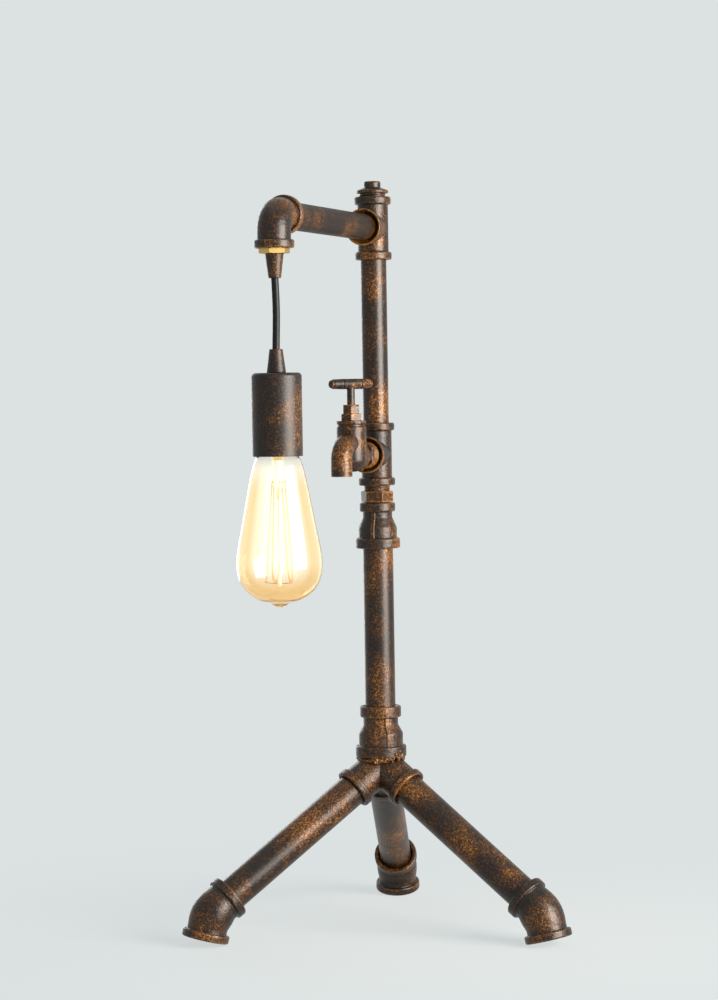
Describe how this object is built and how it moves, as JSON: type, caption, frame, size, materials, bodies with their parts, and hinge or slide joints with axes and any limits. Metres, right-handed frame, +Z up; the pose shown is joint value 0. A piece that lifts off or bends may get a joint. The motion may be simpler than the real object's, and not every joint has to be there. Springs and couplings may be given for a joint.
{
  "type": "table lamp",
  "caption": "Table lamp built from steam pipe: tripod of pipe legs, stepped column with a tap that works the switch, and an arm with a bare filament bulb hung from a cord.",
  "frame": {"origin": "on the column's axis, in the plane that the three feet stand on", "axes": "+Z up along the column; the picture looks along +Y, with +X to its right"},
  "size_m": [0.3143, 0.4385, 0.6192],
  "materials": {
    "lacquered_iron": "mottled antique bronze lacquer on malleable iron",
    "lacquered_pipe": "mottled antique bronze lacquer on steel pipe",
    "lacquered_weld": "lacquered weld bead",
    "lacquered_tap": "antique bronze lacquer on brass",
    "packing": "rubber packing ring",
    "bright_brass": "bright machined brass",
    "switch_case": "black moulded switch",
    "lacquered_grip": "antique bronze lacquer on moulded nylon",
    "cord_sheath": "black flex sheath",
    "lacquered_cup": "antique bronze lacquer on a drawn brass cup",
    "porcelain": "glazed porcelain",
    "contact_brass": "plain brass",
    "cap_nickel": "bulb cap metal",
    "cap_solder": "solder contact",
    "cap_glass": "black glass insulator",
    "amber_glass": "amber tinted clear glass",
    "clear_glass": "clear glass",
    "support_wire": "bright wire",
    "filament_wire": "glowing carbon filament"
  },
  "bodies": {
    "stand": {"corner_fitting": "lacquered_iron", "leg_rear": "lacquered_pipe", "leg_left": "lacquered_pipe", "leg_right": "lacquered_pipe", "foot_rear": "lacquered_iron", "foot_left": "lacquered_iron", "foot_right": "lacquered_iron", "weld_bead": "lacquered_weld", "lower_reducer": "lacquered_iron", "lower_pipe": "lacquered_pipe", "upper_reducer": "lacquered_iron", "hex_nipple": "lacquered_iron", "mid_tee": "lacquered_iron", "upper_pipe": "lacquered_pipe", "tap_body": "lacquered_tap", "tap_bonnet": "lacquered_tap", "packing_ring": "packing", "packing_nut": "lacquered_tap", "rotary_switch": "switch_case", "switch_flex": "cord_sheath"},
    "arm": {"top_tee": "lacquered_iron", "top_plug": "lacquered_iron", "arm_pipe": "lacquered_pipe", "arm_elbow": "lacquered_iron", "brass_bush": "bright_brass", "upper_grip": "lacquered_grip", "arm_flex": "cord_sheath"},
    "cord": {"pendant_cord": "cord_sheath"},
    "pendant": {"lower_grip": "lacquered_grip", "lampholder_cup": "lacquered_cup", "lampholder_insert": "porcelain", "socket_shell": "contact_brass", "centre_contact": "contact_brass", "terminal_screws": "contact_brass", "lead_wires": "cord_sheath", "bulb_cap": "cap_nickel", "bulb_cap_insulator": "cap_glass", "bulb_cap_contact": "cap_solder", "bulb_glass": "amber_glass", "bulb_stem": "clear_glass", "bulb_supports": "support_wire", "bulb_filament": "filament_wire"},
    "tap_key": {"tap_stem": "lacquered_tap", "tap_handle": "lacquered_tap", "switch_rotor": "switch_case"}
  },
  "joints": [
    {"name": "arm_swivel", "type": "hinge", "parent": "stand", "child": "arm", "pos_m": [0, 0, 0.58047], "axis": [0, 0, 1], "range_deg": [-90, 90]},
    {"name": "cord_swing", "type": "hinge", "parent": "arm", "child": "cord", "pos_m": [-0.07536, -0.22786, 0.53217], "axis": [0.9494, -0.314, 0], "range_deg": [-15, 15]},
    {"name": "holder_swing", "type": "hinge", "parent": "cord", "child": "pendant", "pos_m": [-0.07536, -0.22786, 0.47917], "axis": [-0.314, -0.9494, 0], "range_deg": [-15, 15]},
    {"name": "tap_turn", "type": "hinge", "parent": "stand", "child": "tap_key", "pos_m": [-0.02031, -0.06143, 0.45237], "axis": [0, 0, 1], "range_deg": [-180, 90]}
  ]
}
